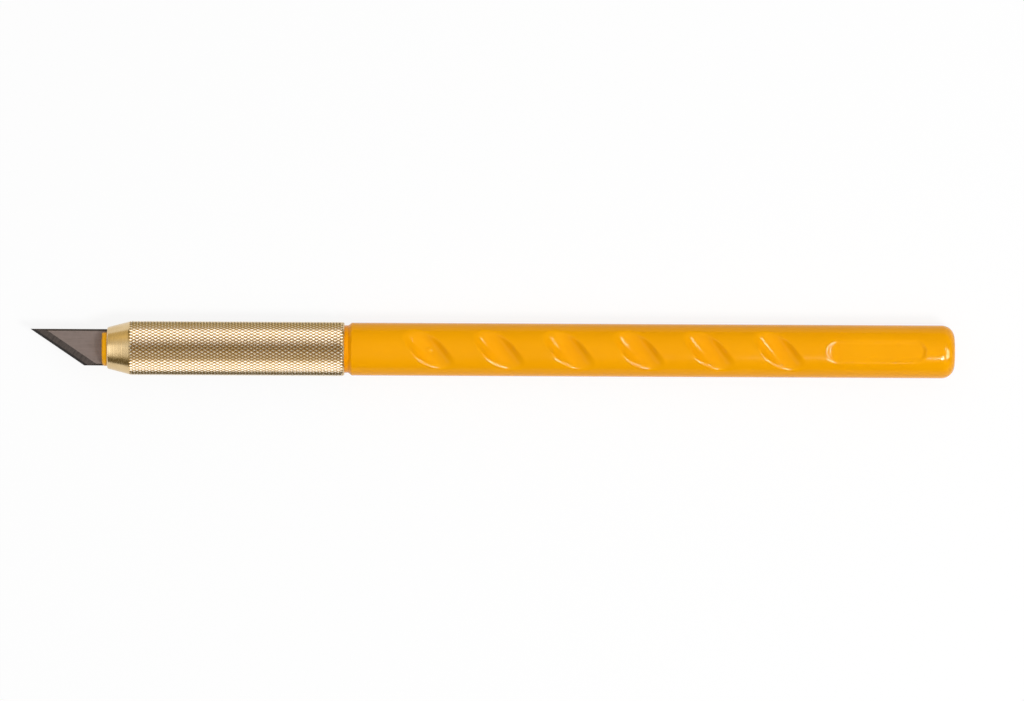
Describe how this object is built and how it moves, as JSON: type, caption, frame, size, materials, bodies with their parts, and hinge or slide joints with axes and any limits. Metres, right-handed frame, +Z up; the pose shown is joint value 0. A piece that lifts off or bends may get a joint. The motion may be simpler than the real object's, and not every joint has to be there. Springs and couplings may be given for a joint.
{
  "type": "craft knife",
  "caption": "Pen-shaped craft knife: a scooped plastic grip barrel, a knurled brass collar that screws down over a split collet, and a slanted strip blade.",
  "frame": {"origin": "on the surface that the knife lies on, under the middle of its length", "axes": "+X along the knife from the blade's tip to the butt end, +Y towards the blade's spine, +Z up, out of the face with the sunk panel"},
  "size_m": [0.1522, 0.009, 0.009],
  "materials": {
    "barrel_plastic": "glossy moulded yellow plastic",
    "collet_plastic": "satin moulded yellow plastic",
    "collar_brass": "turned and knurled pale brass",
    "blade_steel": "ground tool steel"
  },
  "bodies": {
    "handle": {"barrel": "barrel_plastic"},
    "collet": {"collet": "collet_plastic"},
    "front_jaw": {"front_jaw": "collet_plastic"},
    "back_jaw": {"back_jaw": "collet_plastic"},
    "collar": {"collar": "collar_brass"},
    "blade": {"blade": "blade_steel"}
  },
  "joints": [
    {"name": "collar_turn", "type": "hinge", "parent": "handle", "child": "collet", "pos_m": [-0.0343, 0, 0.00449], "axis": [-1, 0, 0], "range_deg": [0, 2520]},
    {"name": "collar_advance", "type": "slide", "parent": "collet", "child": "collar", "axis": [-1, 0, 0], "range_m": [0, 0.00526]},
    {"name": "front_jaw_open", "type": "hinge", "parent": "collet", "child": "front_jaw", "pos_m": [-0.03572, 0, 0.00625], "axis": [0, 1, 0], "range_deg": [0, 0.61]},
    {"name": "back_jaw_open", "type": "hinge", "parent": "collet", "child": "back_jaw", "pos_m": [-0.03572, 0, 0.00272], "axis": [0, -1, 0], "range_deg": [0, 0.61]},
    {"name": "blade_slide", "type": "slide", "parent": "collet", "child": "blade", "axis": [-1, 0, 0], "range_m": [-0.0113, 0.029]}
  ],
  "couplings": [
    {"joint": "collar_advance", "follows": "collar_turn", "m_per_rad": 0.00011937},
    {"joint": "front_jaw_open", "follows": "collar_turn", "ratio": 0.0002381},
    {"joint": "back_jaw_open", "follows": "collar_turn", "ratio": 0.0002381}
  ]
}
